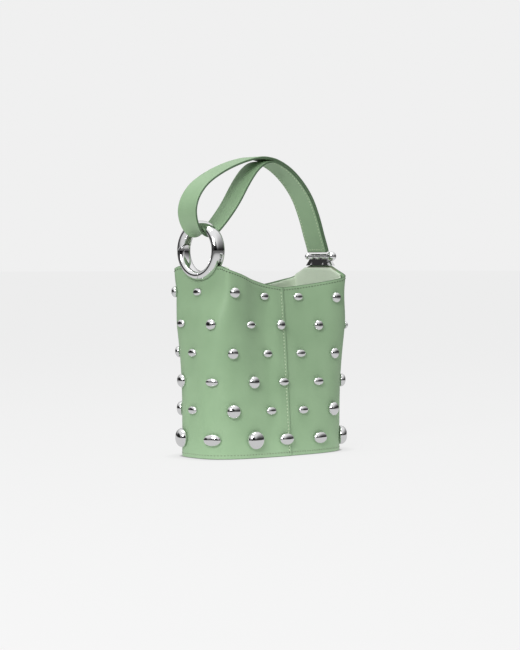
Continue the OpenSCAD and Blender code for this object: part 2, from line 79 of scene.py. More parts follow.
class Field:
    """A socket of a node tree, written so that shader maths reads as arithmetic."""

    def __init__(self, tree, socket):
        self.tree = tree
        self.socket = socket

    def _math(self, operation, first, second=None):
        values = {0: first} if second is None else {0: first, 1: second}
        return make_node(self.tree, "ShaderNodeMath", {"operation": operation}, values)

    def __add__(self, other):
        return self._math("ADD", self, other)

    def __radd__(self, other):
        return self._math("ADD", other, self)

    def __sub__(self, other):
        return self._math("SUBTRACT", self, other)

    def __rsub__(self, other):
        return self._math("SUBTRACT", other, self)

    def __mul__(self, other):
        return self._math("MULTIPLY", self, other)

    def __rmul__(self, other):
        return self._math("MULTIPLY", other, self)

    def between(self, low, high):
        """0 below low, 1 above high, and a smooth step from one to the other."""
        return make_node(self.tree, "ShaderNodeMapRange", {"interpolation_type": "SMOOTHSTEP"},
                         {"Value": self, "From Min": low, "From Max": high})


def make_node(tree, kind, settings=None, inputs=None, output=0):
    """Adds a node: first its settings, then the values or links of its sockets."""
    node = tree.nodes.new(kind)
    for key, value in (settings or {}).items():
        setattr(node, key, value)
    for key, value in (inputs or {}).items():
        if isinstance(value, Field):
            tree.links.new(value.socket, node.inputs[key])
        else:
            node.inputs[key].default_value = value
    return Field(tree, node.outputs[output]) if len(node.outputs) else None


def new_material(name):
    """An empty node material, and its tree."""
    material = bpy.data.materials.new(name)
    material.use_nodes = True
    material.node_tree.nodes.clear()
    return material, material.node_tree


def finish_material(tree, shader):
    """Joins the shader to the material's output."""
    make_node(tree, "ShaderNodeOutputMaterial", None, {"Surface": shader})


def dress(piece, material):
    """Gives the whole piece one material."""
    piece.data.materials.clear()
    piece.data.materials.append(material)


# The floor glows evenly and takes a little shade from the lights. Close round the base it sends more
# light back up; in reflections it is darker, most of all far away. A painted contact shadow takes glow
# away from what the camera sees round the base, in a soft line along the base's outline, |x/a|^3 +
# |y/b|^3 = 1.
FLOOR_HALF = 40000
FLOOR_GLOW = 0.82
BASE_HALVES = (87.5, 44.0)

floor_material, tree = new_material("pale_floor")
path = tree.nodes.new("ShaderNodeLightPath")
seen = Field(tree, path.outputs["Is Camera Ray"])
scattered = Field(tree, path.outputs["Is Diffuse Ray"])
mirrored = 1 - seen - scattered
place = make_node(tree, "ShaderNodeTexCoord", None, None, 3)
from_middle = make_node(tree, "ShaderNodeVectorMath", {"operation": "LENGTH"}, {0: place}, 1)
pool = 1 - from_middle.between(0.08, 0.34)
split = tree.nodes.new("ShaderNodeSeparateXYZ")
tree.links.new(place.socket, split.inputs[0])
ways = [Field(tree, split.outputs[k]) * (1 / (half * MM)) for k, half in enumerate(BASE_HALVES)]
outline = sum(make_node(tree, "ShaderNodeMath", {"operation": "POWER"}, {0: way * way, 1: 1.5})
              for way in ways)
# Painted contact shadow: the camera's glow is cut by half inside and just round the base's outline, and
# by a tenth more out to a wider band.
shade = 0.5 * (1 - outline.between(0.98, 1.16)) + 0.10 * (1 - outline.between(1.0, 2.0))
glow = make_node(tree, "ShaderNodeEmission", None, {
    "Color": (1, 1, 1, 1),
    "Strength": FLOOR_GLOW * (1 - shade * seen) + scattered * (pool - 0.32)
    - mirrored * (0.2 + 0.5 * from_middle.between(0.25, 1.8))})
matte = make_node(tree, "ShaderNodeBsdfDiffuse", None, {"Color": (0.07, 0.07, 0.07, 1)})
finish_material(tree, make_node(tree, "ShaderNodeAddShader", None, {0: glow, 1: matte}))
floor = new_piece("floor", [(-FLOOR_HALF, -FLOOR_HALF, 0), (FLOOR_HALF, -FLOOR_HALF, 0),
                            (FLOOR_HALF, FLOOR_HALF, 0), (-FLOOR_HALF, FLOOR_HALF, 0)], [(0, 1, 2, 3)])
dress(floor, floor_material)

# The studio round the bag: even pale walls, whose soft light is dimmer than they look. In
# reflections the room is darker low down, over a tripod and by a doorway, which gives the
# chrome its dark line and spots.
world = bpy.data.worlds.new("studio")
bpy.context.scene.world = world
world.use_nodes = True
tree = world.node_tree
tree.nodes.clear()
way = make_node(tree, "ShaderNodeTexCoord")
split = tree.nodes.new("ShaderNodeSeparateXYZ")
tree.links.new(way.socket, split.inputs[0])
way_x, way_y, way_z = [Field(tree, socket) for socket in split.outputs]
towards_camera = way_x * -sin(CAMERA_AZIMUTH) + way_y * -cos(CAMERA_AZIMUTH)
to_the_left = way_x * -cos(CAMERA_AZIMUTH) + way_y * sin(CAMERA_AZIMUTH)
skirting = 1 - way_z.between(0.06, 0.3)
tripod = towards_camera.between(0.78, 0.88) * (1 - way_z.between(0.42, 0.56))
doorway = (to_the_left.between(0.80, 0.90) * (1 - way_z.between(0.38, 0.5))
           * way_z.between(-0.02, 0.04))
dark = 1 - (1 - 0.88 * skirting) * (1 - 0.93 * tripod) * (1 - 0.93 * doorway)
room = (0.47 + 0.42 * way_z.between(0.2, 0.7) - 0.3 * to_the_left.between(-0.5, -0.95)) * (1 - dark)
path = tree.nodes.new("ShaderNodeLightPath")
seen = Field(tree, path.outputs["Is Camera Ray"])
scattered = Field(tree, path.outputs["Is Diffuse Ray"])
soft_fill = 0.26 + 0.1 * way_z.between(-0.2, 0.9)
strength = seen * BACKGROUND + scattered * soft_fill + (1 - seen - scattered) * room
sky = make_node(tree, "ShaderNodeBackground", None, {"Color": (1, 1, 1, 1), "Strength": strength})
make_node(tree, "ShaderNodeOutputWorld", None, {"Surface": sky})


def add_light(name, place, size, power, aim=(0, 0, 0.12)):
    """A square soft light at place, in metres, turned towards aim."""
    data = bpy.data.lights.new(name, "AREA")
    data.energy = power
    data.size = size
    lamp = bpy.data.objects.new(name, data)
    lamp.location = place
    away = np.subtract(place, aim)
    lamp.rotation_euler = (atan2(hypot(away[0], away[1]), away[2]), 0, atan2(away[0], -away[1]))
    bpy.context.scene.collection.objects.link(lamp)


def from_camera(side, ahead, up):
    """A place given as metres to the camera's right, towards it, and up from the bag's base."""
    return (side * cos(CAMERA_AZIMUTH) - ahead * sin(CAMERA_AZIMUTH),
            -side * sin(CAMERA_AZIMUTH) - ahead * cos(CAMERA_AZIMUTH), up)


add_light("key_light", from_camera(-0.5, 1.5, 0.9), 0.6, 16)
add_light("top_light", from_camera(-0.1, 0.1, 1.8), 0.9, 13)

# ---------------------------------------------------------------- shape of the leather body
# Two panels of smooth mint leather wrap round a flat base. The plan at any height is a
# superellipse: x = a.k.cos, y = b.k.sin, with k = (|cos|^n + |sin|^n)^(-1/n). It gets
# squarer towards the rim, the seamed sides are drawn in, and the ends meet the hardware.

HALF_LENGTH, HALF_WIDTH = BASE_HALVES
PEAK = 187.0
WAIST = 15.5
WAIST_REACH = 56.0
HARDWARE_X = 78.0
LEATHER = 1.8
RING_TURN = radians(5)
END_PULL = HALF_LENGTH - HARDWARE_X - LEATHER / 2


def ramp(low, high, x):
    """A smooth step from 0 at low to 1 at high."""
    t = np.clip((x - low) / (high - low), 0, 1)
    return t * t * (3 - 2 * t)


def plan(phi, z):
    """Outer face of the body at angle phi, in degrees, and height z, in millimetres."""
    phi, z = np.broadcast_arrays(np.radians(phi), np.asarray(z, float))
    t = np.clip(z / PEAK, 0, 1.1)
    n = 3 + 9 * np.minimum(t, 1) ** 4
    k = (np.abs(np.cos(phi)) ** n + np.abs(np.sin(phi)) ** n) ** (-1 / n)
    x = HALF_LENGTH * k * np.cos(phi)
    y = HALF_WIDTH * k * np.sin(phi)
    draw_in = WAIST * t ** 1.14 * np.exp(-(x / WAIST_REACH) ** 2)
    y = y - np.sign(y) * draw_in * np.minimum(1, np.abs(y) / HALF_WIDTH)
    held = ramp(124, 170, z) * ramp(40, 70, np.abs(x)) / (1 + (y / 42) ** 8)
    x = x - np.sign(x) * END_PULL * held
    x = np.where(x < 0, x - tan(RING_TURN) * y * held, x)
    return np.stack([x, y, z], -1)


def unit(vectors):
    """The same directions, with length 1."""
    return vectors / np.linalg.norm(vectors, axis=-1, keepdims=True)


def wall(phi, z, depth=0.0):
    """Points depth mm inside the outer face, and the face's outward directions there."""
    along = plan(phi + 0.2, z) - plan(phi - 0.2, z)
    up = plan(phi, z + 0.5) - plan(phi, z - 0.5)
    outward = unit(np.cross(along, up))
    return plan(phi, z) - outward * np.asarray(depth)[..., None], outward


# Height of the rim. rise goes from 0 at a seam to 1 at the middle of an end, by distance.
SEAM_RIM = 166.0
RING_RIM = 187.0
BAR_CORNER_RIM = 175.2
RING_CORNER_RISE = 0.74
BAR_CORNER_RISE = 0.62
CLAMP_RISE = 0.85
quarter = plan(np.linspace(-90, 0, 91), 175.0)
quarter_length = np.concatenate([[0], np.cumsum(np.linalg.norm(np.diff(quarter, axis=0), axis=1))])


def from_seam(phi):
    """Degrees from the nearer seam, 0 to 90."""
    folded = np.mod(phi + 90, 180)
    return np.minimum(folded, 180 - folded)


def rise(phi):
    """Distance from the nearer seam round to phi, over the distance to the middle of an end."""
    return np.interp(from_seam(phi), np.linspace(0, 90, 91), quarter_length / quarter_length[-1])


def ring_side_rim(phi):
    """Seam height + the rise to the corner, by (rise / corner's rise)^1.35, then level."""
    return SEAM_RIM + (RING_RIM - SEAM_RIM) * np.minimum(1, rise(phi) / RING_CORNER_RISE) ** 1.35


def bar_side_rim(phi):
    """The same to the corner, and from there a nearly straight slope up to the clamp."""
    to_corner = np.minimum(1, rise(phi) / BAR_CORNER_RISE)
    to_clamp = np.clip((rise(phi) - BAR_CORNER_RISE) / (CLAMP_RISE - BAR_CORNER_RISE), 0, 1)
    return (SEAM_RIM + (BAR_CORNER_RIM - SEAM_RIM) * to_corner ** 1.35
            + (PEAK - BAR_CORNER_RIM) * to_clamp ** 1.1)


RING_HEIGHT = 202.0
NOTCH_RADIUS = 25.7
LIP_RADIUS = 29.1
TAB_TOP = 191.5


def notch_rim(phi, radius):
    """Height at which a circle of this radius about the ring's middle crosses the end."""
    y = plan(phi, RING_RIM)[..., 1] / cos(RING_TURN)
    return RING_HEIGHT - np.sqrt(np.maximum(0, radius ** 2 - y ** 2))


def front_rim(phi):
    """The ring side's rim, cut away in an arc under the ring."""
    return np.minimum(ring_side_rim(phi), notch_rim(phi, NOTCH_RADIUS))


def back_rim(phi):
    """The bar side's rim, with a tab that stands up inside the clamp."""
    y = np.abs(plan(phi, PEAK)[..., 1])
    in_clamp = (1 - ramp(14.4, 15.4, y)) * (np.abs(phi) < 40)
    return bar_side_rim(phi) + (TAB_TOP - PEAK) * in_clamp


def soft_waves(phi, z):
    """Slow swells of a fraction of a millimetre, fading to nothing at the base, and a shallow
    fold that runs down from the rim beside the near seam."""
    swell = (np.sin(np.radians(phi * 5 + 40)) * np.sin(z / 31 + 1)
             + 0.6 * np.sin(np.radians(phi * 9) + z / 43))
    beside_seam = np.exp(-((np.mod(phi, 360) - 250) / 10.0) ** 2)
    return 0.25 * swell * ramp(0, 60, z) - 2.6 * beside_seam * ramp(25, 125, z)


def bulge(phi, z, rim):
    """The waves of the leather, which die out in the last few millimetres below the rim."""
    return soft_waves(phi, z) * ramp(0, 6, rim - z)


# ---------------------------------------------------------------- studs
# Cast pebble-shaped studs in six staggered rows, round and oval by turns, each pressed
# through the leather from outside. They are polished and chrome plated.

ROW_HEIGHTS = [16.8 + 28 * row for row in range(6)]
STUD_SLOPE = 0.022
TOP_ROW_LIFT = 3.0
# Round diameter, oval length and oval height of each row, lowest first
ROW_SIZES = [(19, 17.8, 12.4), (14.5, 12.5, 8.5), (13.3, 12.8, 8.5),
             (11.5, 12, 8.3), (11, 11.8, 8), (11, 11.5, 8.3)]
ODD_FRONT = (0.03, 0.195, 0.39, 0.58, 0.79)
ODD_BACK = (0.175, 0.385, 0.6, 0.8)
EVEN_FRONT = (0.103, 0.298, 0.5, 0.65, 0.86)
EVEN_BACK = (0.08, 0.27, 0.5, 0.71, 0.91)
LAP = 5.0
LAP_STEP = 1.9


def lap_lift(phi):
    """How far the front panel stands out where it lies over the back panel's edge."""
    return LAP_STEP * (1 - ramp(LAP + 0.5, LAP + 12, from_seam(phi)))


def angle_at(fraction, z, way):
    """Angle at a fraction of the way from the near seam to the far one, by distance."""
    phi = -90 + way * np.linspace(0, 180, 361)
    steps = np.linalg.norm(np.diff(plan(phi, z), axis=0), axis=1)
    gone = np.concatenate([[0], np.cumsum(steps)])
    return np.interp(fraction, gone / gone[-1], phi)


def stud_places():
    """Rows of (row, angle, height, width, height of stud, is on the front panel). A row
    slopes by STUD_SLOPE along the bag, and the top one lifts towards the ring."""
    odd_halves = ((-1, ODD_FRONT), (1, ODD_BACK))
    even_halves = ((-1, EVEN_FRONT), (1, EVEN_BACK))
    places = []
    for row, height in enumerate(ROW_HEIGHTS):
        halves = odd_halves if row % 2 == 0 else even_halves
        round_size, oval_length, oval_height = ROW_SIZES[row]
        for way, fractions in halves:
            for i, fraction in enumerate(fractions):
                phi = float(angle_at(fraction, height, way))
                x = float(plan(phi, height)[0])
                lift = TOP_ROW_LIFT * float(ramp(30, 65, -x)) if row == 5 else 0
                z = height - STUD_SLOPE * x + lift
                oval = (i % 2 == 0) == (row != 4)
                width, tall = (oval_length, oval_height) if oval else (round_size, round_size)
                places.append((row, phi, z, width, tall, way < 0))
    return places


STUDS = stud_places()


def grid_faces(rows, columns, closed_rows=False, closed_columns=False):
    """Quads of a grid of points, numbered row by row. A closed way wraps round."""
    i = np.arange(rows if closed_rows else rows - 1)[:, None]
    j = np.arange(columns if closed_columns else columns - 1)[None, :]
    i2, j2 = (i + 1) % rows, (j + 1) % columns
    i, j, i2, j2 = np.broadcast_arrays(i, j, i2, j2)
    quads = np.stack([i * columns + j, i2 * columns + j, i2 * columns + j2, i * columns + j2], -1)
    return quads.reshape(-1, 4).tolist()


STUD_SIDES = 40


def pebble(width, height, across, up, out, centre):
    """A domed stud. Round the rim by angle a and from rim to top by angle b, a point is
    centre + across.w.cos(a).r + up.h.sin(a).r + out.d.s, with r = cos(b)^0.8, s = sin(b)^0.9."""
    a = np.linspace(0, 2 * pi, STUD_SIDES, endpoint=False)[None, :]
    b = np.linspace(0, pi / 2, 13)[:-1, None]
    depth = 0.36 * min(width, height) + 0.03 * width
    r = np.cos(b) ** 0.8
    s = np.sin(b) ** 0.9
    sides = np.concatenate([r, [[0.97], [0.90]]])
    drop = np.concatenate([s * depth + 0.35, [[0.12], [-0.6]]])
    order = np.argsort(drop[:, 0])
    sides, drop = sides[order], drop[order]
    points = (centre + (width / 2) * (sides * np.cos(a))[..., None] * across
              + (height / 2) * (sides * np.sin(a))[..., None] * up + (drop + 0 * a)[..., None] * out)
    flat = points.reshape(-1, 3)
    top = centre + out * (depth + 0.35)
    count = len(flat)
    faces = [f[::-1] for f in grid_faces(len(sides), STUD_SIDES, closed_columns=True)]
    last = count - STUD_SIDES
    cap = [[last + k, last + (k + 1) % STUD_SIDES, count] for k in range(STUD_SIDES)]
    foot = [list(range(STUD_SIDES - 1, -1, -1))]
    return np.concatenate([flat, top[None]]), faces + cap + foot


def chrome_material(name, shade, roughness):
    """Polished plating: a bright mirror with the faintest waviness and wiping marks."""
    material, tree = new_material(name)
    place = make_node(tree, "ShaderNodeTexCoord", None, None, 3)
    cloud = make_node(tree, "ShaderNodeTexNoise", None, {"Vector": place, "Scale": 60.0, "Detail": 3.0})
    wipe = make_node(tree, "ShaderNodeTexNoise", None, {"Vector": place, "Scale": 900.0, "Detail": 2.0})
    bump = make_node(tree, "ShaderNodeBump", None,
                     {"Height": cloud, "Strength": 0.12, "Distance": 0.0004})
    finish_material(tree, make_node(tree, "ShaderNodeBsdfPrincipled", None, {
        "Base Color": (shade, shade, shade * 1.01, 1), "Metallic": 1.0,
        "Roughness": roughness + 0.06 * wipe * cloud, "Normal": bump}))
    return material


stud_chrome = chrome_material("stud_chrome", 0.80, 0.06)

for row in range(6):
    points, faces = [], []
    for _, phi, z, width, height, on_front in [stud for stud in STUDS if stud[0] == row]:
        lift = float(soft_waves(np.array(phi), np.array(z)))
        lift += float(lap_lift(phi)) if on_front else 0.0
        centre, out = wall(np.array(phi), np.array(z), -lift)
        across = unit(np.cross([0, 0, 1], out))
        stud_points, stud_faces = pebble(width, height, across, np.cross(out, across), out, centre)
        offset = sum(len(p) for p in points)
        points.append(stud_points)
        faces += [[k + offset for k in f] for f in stud_faces]
    studs = new_piece(f"studs_{row + 1}", np.concatenate(points), faces)
    dress(studs, stud_chrome)
    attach(studs, "bag")
    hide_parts(f"stud_row_{row + 1}")

# ---------------------------------------------------------------- leather panels
# The front panel carries the ring and laps over the back panel at both seams. Each is one
# piece of 1.8 mm leather with a painted edge, topstitched 3 mm inside its edges.

MINT = (0.300, 0.452, 0.270, 1)
MINT_DEEP = (0.205, 0.335, 0.185, 1)
EDGE_PAINT = (0.085, 0.150, 0.078, 1)


def leather_material(name):
    """Smooth corrected-grain leather: fine pores, a soft cloudy tone, and a darker painted
    edge where the point attribute edge, the distance from the cut edge in mm, is small."""
    material, tree = new_material(name)
    place = make_node(tree, "ShaderNodeTexCoord", None, None, 3)
    cloud = make_node(tree, "ShaderNodeTexNoise", None, {"Vector": place, "Scale": 28.0, "Detail": 4.0})
    pores = make_node(tree, "ShaderNodeTexVoronoi", {"feature": "F1"},
                      {"Vector": place, "Scale": 1300.0})
    fine = make_node(tree, "ShaderNodeTexNoise", None, {"Vector": place, "Scale": 2200.0, "Detail": 3.0})
    edge = make_node(tree, "ShaderNodeAttribute", {"attribute_name": "edge"}, None, 2)
    paint = 1 - edge.between(0.45, 0.75)
    tone = make_node(tree, "ShaderNodeMix", {"data_type": "RGBA"},
                     {0: cloud.between(0.3, 0.75) * 0.35, 6: MINT, 7: MINT_DEEP}, 2)
    colour = make_node(tree, "ShaderNodeMix", {"data_type": "RGBA"},
                       {0: paint, 6: tone, 7: EDGE_PAINT}, 2)
    height = pores * 0.6 + fine * 0.5
    bump = make_node(tree, "ShaderNodeBump", None,
                     {"Height": height, "Strength": 0.22, "Distance": 0.00025})
    finish_material(tree, make_node(tree, "ShaderNodeBsdfPrincipled", None, {
        "Base Color": colour, "Roughness": 0.46 + 0.12 * cloud - 0.12 * paint, "Normal": bump,
        "Specular IOR Level": 0.42, "Sheen Weight": 0.06, "Sheen Roughness": 0.5}))
    return material


mint_leather = leather_material("mint_leather")


def crowded(length, count, rounding):
    """Distances from 0 to length: steps of a rounded edge at both ends, even between."""
    turn = np.radians([0, 22, 44, 66, 90])
    start = rounding * (1 - np.cos(turn))
    middle = np.linspace(rounding, length - rounding, count)[1:-1]
    return np.concatenate([start, middle, (length - start)[::-1]])


def sheet_piece(name, middle, outward, thickness, edge, relief):
    """A closed sheet: middle plus and minus outward.h, with h = T.sqrt(1 - (1 - d/T)^2) for
    T half the thickness and d the distance from the edge, so every edge is a half round."""
    half = thickness / 2
    h = half * np.sqrt(1 - (1 - np.clip(edge / half, 0, 1)) ** 2)
    outer = middle + outward * (h + relief)[..., None]
    inner = middle - outward * h[..., None]
    rows, columns = edge.shape
    border = np.zeros((rows, columns), bool)
    border[[0, -1], :] = True
    border[:, [0, -1]] = True
    number = np.arange(rows * columns).reshape(rows, columns)
    inner_number = number.copy()
    inner_number[~border] = rows * columns + np.arange((~border).sum())
    points = np.concatenate([outer.reshape(-1, 3), inner[~border]])
    outer_faces = grid_faces(rows, columns)
    inner_faces = inner_number.reshape(-1)[np.array(outer_faces)][:, ::-1].tolist()
    piece = new_piece(name, points, outer_faces + inner_faces)
    values = np.concatenate([edge.reshape(-1), edge[~border]])
    layer = piece.data.attributes.new("edge", "FLOAT", "POINT")
    layer.data.foreach_set("value", values.astype(np.float32))
    return piece


SIDE_SCALE = 1.53
RIM_STITCH = 2.9
SEAM_STITCH = 3.0
BASE_STITCH = 3.6


def groove(distance, place, depth=0.28, width=0.55):
    """A pressed line at a distance from an edge: -depth.exp(-((distance - place)/width)^2)."""
    return -depth * np.exp(-((distance - place) / width) ** 2)


def stud_dimples(points, on_front):
    """The leather dips round each stud by 0.3.exp(-(distance / (stud's half width + 1.2))^4)."""
    dip = np.zeros(points.shape[:2])
    for _, phi, z, width, height, front in STUDS:
        if front == on_front:
            away = np.linalg.norm(points - plan(phi, z), axis=-1)
            dip -= 0.3 * np.exp(-(away / (max(width, height) / 2 + 1.2)) ** 4)
    return dip


def panel(name, first, last, rim, lifted, stitched_sides, node):
    """One panel: columns by angle from first to last, rows from the floor to the rim."""
    span = (last - first) * SIDE_SCALE
    side = crowded(span, 250, LEATHER / 2)
    phi = (first + side / SIDE_SCALE)[:, None]
    top = rim(phi)
    rows = crowded(1.0, 104, LEATHER / 2 / 180)
    z = top * rows[None, :]
    from_side = np.minimum(side, span - side)[:, None] + 0 * z
    from_rim = top - z
    edge = np.minimum(np.minimum(from_side, from_rim), z)
    lift = lap_lift(phi) + 0 * z if lifted else 0 * z
    middle, outward = wall(phi, z, LEATHER / 2 - lift)
    relief = groove(from_rim, RIM_STITCH) + groove(z, BASE_STITCH)
    if stitched_sides:
        relief = relief + groove(from_side, SEAM_STITCH)
    relief = relief + stud_dimples(middle, lifted)
    middle = middle + outward * bulge(phi, z, top)[..., None]
    piece = sheet_piece(name, middle, outward, LEATHER, edge, relief * ramp(0, 0.9, edge))
    dress(piece, mint_leather)
    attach(piece, "bag")
    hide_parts(node)
    return piece


panel("front_leather", 90.0, 270.0, front_rim, True, True, "front_panel")
panel("back_leather", -90 - LAP, 90 + LAP, back_rim, False, False, "back_panel")

# ---------------------------------------------------------------- stitches
# Saddle stitches of waxed thread: along the rim and the base, up both seams, and later along the strap.
# Each is one small rounded stitch, lying in the groove and tucked in at its ends, where painted shade
# darkens it for its needle holes.

STITCH_PITCH = 3.3
STITCH_HALF = 1.05
STITCH_RADIUS = 0.56

thread, tree = new_material("mint_thread")
place = make_node(tree, "ShaderNodeTexCoord", None, None, 3)
ply = make_node(tree, "ShaderNodeTexNoise", None, {"Vector": place, "Scale": 2600.0, "Detail": 2.0})
# Painted shade: the thread turns dark where the point attribute read here is high, at each stitch's ends
# for its needle holes and along runs that lie in shadow.
painted_thread_shade = make_node(tree, "ShaderNodeAttribute", {"attribute_name": "painted_thread_shade"}, None, 2)
tone = make_node(tree, "ShaderNodeMix", {"data_type": "RGBA"},
                 {0: painted_thread_shade, 6: (0.60, 0.72, 0.50, 1), 7: (0.02, 0.045, 0.02, 1)}, 2)
bump = make_node(tree, "ShaderNodeBump", None, {"Height": ply, "Strength": 0.4, "Distance": 0.0002})
finish_material(tree, make_node(tree, "ShaderNodeBsdfPrincipled", None, {
    "Base Color": tone, "Roughness": 0.62, "Normal": bump}))


def along_path(points, outward, pitch):
    """Points, directions along and outward directions at even steps down a path."""
    step = np.linalg.norm(np.diff(points, axis=0), axis=1)
    gone = np.concatenate([[0], np.cumsum(step)])
    count = max(2, int(gone[-1] / pitch))
    at = (np.arange(count) + 0.5) * gone[-1] / count

    def pick(values, places):
        return np.stack([np.interp(places, gone, values[:, k]) for k in range(3)], -1)

    forward = unit(pick(points, np.minimum(at + 0.4, gone[-1])) - pick(points, np.maximum(at - 0.4, 0)))
    return pick(points, at), forward, unit(pick(outward, at))


def sew(name, runs, body, painted_run_shade=0.0):
    """Stitches along runs of (path, outward directions). Ring s of a stitch, from -1 to 1, has radius
    R.(1 - s^4)^0.5 and rises by 0.35.R.(1 - s^2) above the groove. The thread is darkened by painted
    shade: by at least the last argument all along a run, for stitches that lie in shadow, and fully at
    each stitch's ends, for its needle holes."""
    s = np.array([-0.985, -0.7, 0.0, 0.7, 0.985])[None, :, None]
    a = np.linspace(0, 2 * pi, 6, endpoint=False)[None, None, :]
    points, faces, painted_thread_shades = [], [], []
    start_number = 0
    for path, outward in runs:
        at, forward, up = along_path(path, outward, STITCH_PITCH)
        side = np.cross(forward, up)
        r = STITCH_RADIUS * np.sqrt(1 - s ** 4)
        rise_up = STITCH_RADIUS * (0.35 * (1 - s ** 2) - 0.5) + r * np.sin(a)
        ring_points = (at[:, None, None] + forward[:, None, None] * (STITCH_HALF * s + 0 * a)[..., None]
                       + side[:, None, None] * (r * np.cos(a))[..., None]
                       + up[:, None, None] * rise_up[..., None])
        ends = [list(range(6)), list(range(29, 23, -1))]
        one = grid_faces(5, 6, closed_columns=True) + ends
        for k in range(len(at)):
            faces += [[n + start_number + 30 * k for n in f] for f in one]
        points.append(ring_points.reshape(-1, 3))
        # Painted shade per point: full at a stitch's ends for its needle hole, none in its middle, and
        # never below the run's own painted shade.
        painted_thread_shades.append(np.tile(np.repeat(np.maximum([1.0, 0.3, 0.0, 0.3, 1.0], painted_run_shade), 6), len(at)))
        start_number += 30 * len(at)
    piece = new_piece(name, np.concatenate(points), faces)
    layer = piece.data.attributes.new("painted_thread_shade", "FLOAT", "POINT")
    layer.data.foreach_set("value", np.concatenate(painted_thread_shades).astype(np.float32))
    dress(piece, thread)
    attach(piece, body)
    return piece


def wall_run(first, last, height, lifted, rim):
    """A path round the outer face, from one angle to another, at height(angle)."""
    phi = np.linspace(first, last, 600)
    z = height(phi)
    lift = (lap_lift(phi) if lifted else 0) + bulge(phi, z, rim(phi)) - 0.14
    return wall(phi, z, -lift)


def seam_run(phi):
    """A path up the front panel's edge."""
    z = np.linspace(4.5, float(front_rim(np.array(phi))) - RIM_STITCH - 1.5, 300)
    lift = lap_lift(phi) + bulge(phi, z, front_rim(np.array(phi))) - 0.14
    return wall(np.full(300, phi), z, -lift)


SEAM_TURN = SEAM_STITCH / SIDE_SCALE
notch_phi = 29.0
clamp_phi = 24.0
rim_runs = [
    wall_run(90 + SEAM_TURN, 180 - notch_phi, lambda p: front_rim(p) - RIM_STITCH, True, front_rim),
    wall_run(180 + notch_phi, 270 - SEAM_TURN, lambda p: front_rim(p) - RIM_STITCH, True, front_rim),
    wall_run(-90 + 1.0, -clamp_phi, lambda p: back_rim(p) - RIM_STITCH, False, back_rim),
    wall_run(clamp_phi, 90 - 1.0, lambda p: back_rim(p) - RIM_STITCH, False, back_rim)]
# The rim's stitches are darkened all along by painted shade, for lying in shadow.
sew("rim_stitches", rim_runs, "bag", 0.88)
base_runs = [
    wall_run(90 + 0.8, 270 - 0.8, lambda p: BASE_STITCH + 0 * p, True, front_rim),
    wall_run(-90 + 0.8, 90 - 0.8, lambda p: BASE_STITCH + 0 * p, False, back_rim)]
# The base's stitches are darkened all along by painted shade, for lying in shadow.
sew("base_stitches", base_runs, "bag", 0.7)
sew("seam_stitches", [seam_run(270 - SEAM_TURN), seam_run(90 + SEAM_TURN)], "bag")

# ---------------------------------------------------------------- lining and base
# A pale suede-like lining hangs inside the leather, a little below its rim. The base is a
# flat leather panel, with a lined board above it.

SUEDE = (0.640, 0.730, 0.590, 1)
SUEDE_SHADE = (0.560, 0.655, 0.515, 1)
LINING = 1.0
LINING_DEPTH = 4.15
LINING_FOOT = 3.6

suede, tree = new_material("pale_suede")
place = make_node(tree, "ShaderNodeTexCoord", None, None, 3)
nap = make_node(tree, "ShaderNodeTexNoise", None, {"Vector": place, "Scale": 1500.0, "Detail": 4.0})
brushed = make_node(tree, "ShaderNodeTexNoise", None, {"Vector": place, "Scale": 45.0, "Detail": 5.0})
tone = make_node(tree, "ShaderNodeMix", {"data_type": "RGBA"},
                 {0: brushed.between(0.35, 0.7) * 0.6 + nap * 0.2, 6: SUEDE, 7: SUEDE_SHADE}, 2)
bump = make_node(tree, "ShaderNodeBump", None, {"Height": nap, "Strength": 0.35, "Distance": 0.0003})
finish_material(tree, make_node(tree, "ShaderNodeBsdfPrincipled", None, {
    "Base Color": tone, "Roughness": 0.9, "Normal": bump, "Sheen Weight": 0.35}))


def lining_rim(phi):
    """A little below the leather's rim, and clear of the ring and the clamp."""
    ring_side = np.minimum(ring_side_rim(phi), notch_rim(phi, LIP_RADIUS + 1.5)) - 1
    bar_side = np.minimum(bar_side_rim(phi), PEAK - 1) - 1
    return np.where(np.cos(np.radians(phi)) < 0, ring_side, bar_side)


phi = np.linspace(0, 360, 361)[:-1, None]
loop = np.concatenate([np.linspace(0, 1, 60), [1.0], np.linspace(1, 0, 60)])
depth = np.concatenate([np.full(60, LINING_DEPTH), [LINING_DEPTH + LINING / 2],
                        np.full(60, LINING_DEPTH + LINING)])
over = np.concatenate([np.zeros(60), [0.4], np.zeros(60)])
z = LINING_FOOT + (lining_rim(phi) - LINING_FOOT) * loop[None, :] + over[None, :]
hang = 0.35 * np.sin(np.radians(phi * 7)) * ramp(20, 120, z)
points, _ = wall(phi, z, depth[None, :] + hang + 0.35 - bulge(phi, z, PEAK))
lining = new_piece("lining_suede", points.reshape(-1, 3),
                   grid_faces(360, 121, closed_rows=True, closed_columns=True))
dress(lining, suede)
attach(lining, "bag")
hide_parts("wall_lining")


